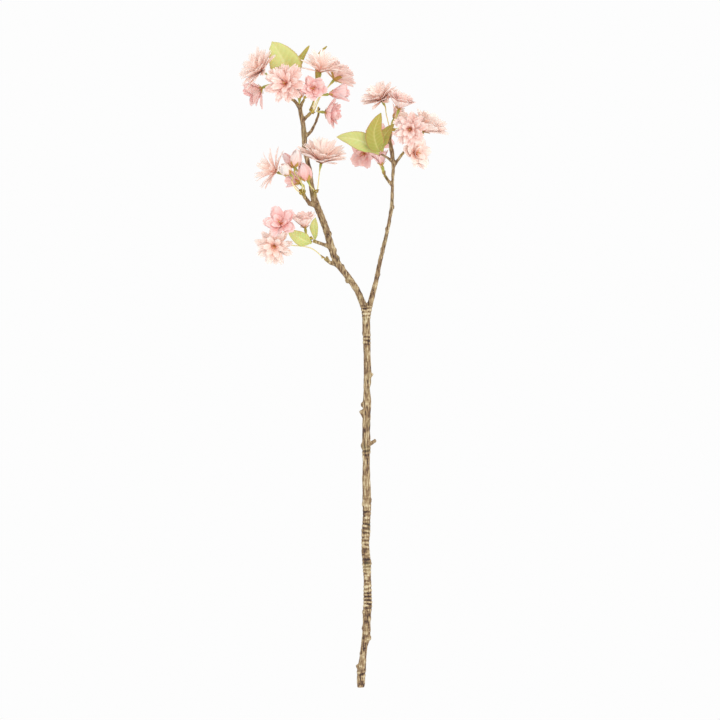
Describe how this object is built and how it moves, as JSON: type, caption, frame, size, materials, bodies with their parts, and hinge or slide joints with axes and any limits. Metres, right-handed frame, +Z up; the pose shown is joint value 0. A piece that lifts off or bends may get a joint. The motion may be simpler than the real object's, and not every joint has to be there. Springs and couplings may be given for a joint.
{
  "type": "cherry blossom sprig",
  "caption": "Cut forked cherry sprig lying down: long knotted woody stem with two arms, clusters of pale pink double blossoms, buds and young green leaves.",
  "frame": {"origin": "on the table under the middle of the sprig's box", "axes": "+Y runs from the cut end of the stem to the blossoms, +Z is up from the table the sprig lies on, +X is to the right when looking down with the blossoms away"},
  "size_m": [0.2308, 0.7314, 0.0897],
  "materials": {
    "bark": "rough grey-brown cherry bark with pale ring lenticels",
    "petal": "thin soft petals, pale blush to pink with deeper throats",
    "calyx": "olive green calyx on a pale yellow stalk",
    "leaf": "young yellow-green leaf with a reddish serrated margin"
  },
  "bodies": {
    "root": {"woody_branch": "bark", "crown_blossom_1_petals": "petal", "crown_blossom_1_calyx": "calyx", "crown_blossom_2_petals": "petal", "crown_blossom_2_calyx": "calyx", "crown_blossom_3_petals": "petal", "crown_blossom_3_calyx": "calyx", "crown_blossom_4_petals": "petal", "crown_blossom_4_calyx": "calyx", "crown_blossom_5_petals": "petal", "crown_blossom_5_calyx": "calyx", "crown_blossom_6_petals": "petal", "crown_blossom_6_calyx": "calyx", "crown_blossom_7_petals": "petal", "crown_blossom_7_calyx": "calyx", "crown_blossom_8_petals": "petal", "crown_blossom_8_calyx": "calyx", "middle_blossom_1_petals": "petal", "middle_blossom_1_calyx": "calyx", "middle_blossom_2_petals": "petal", "middle_blossom_2_calyx": "calyx", "middle_blossom_3_petals": "petal", "middle_blossom_3_calyx": "calyx", "lower_blossom_1_petals": "petal", "lower_blossom_1_calyx": "calyx", "lower_blossom_2_petals": "petal", "lower_blossom_2_calyx": "calyx", "lower_blossom_3_petals": "petal", "lower_blossom_3_calyx": "calyx", "right_blossom_1_petals": "petal", "right_blossom_1_calyx": "calyx", "right_blossom_2_petals": "petal", "right_blossom_2_calyx": "calyx", "right_blossom_3_petals": "petal", "right_blossom_3_calyx": "calyx", "right_blossom_4_petals": "petal", "right_blossom_4_calyx": "calyx", "right_blossom_5_petals": "petal", "right_blossom_5_calyx": "calyx", "right_blossom_6_petals": "petal", "right_blossom_6_calyx": "calyx", "right_blossom_7_petals": "petal", "right_blossom_7_calyx": "calyx", "right_blossom_8_petals": "petal", "right_blossom_8_calyx": "calyx", "crown_bud_1": "petal", "middle_bud_1": "petal", "middle_bud_2": "petal", "middle_bud_3": "petal", "middle_bud_4": "petal", "right_bud_1": "petal", "crown_leaf_1": "leaf", "crown_leaf_2": "leaf", "crown_leaf_3": "leaf", "lower_leaf_1": "leaf", "lower_leaf_2": "leaf", "right_leaf_1": "leaf", "right_leaf_2": "leaf", "right_leaf_3": "leaf"}
  },
  "joints": []
}
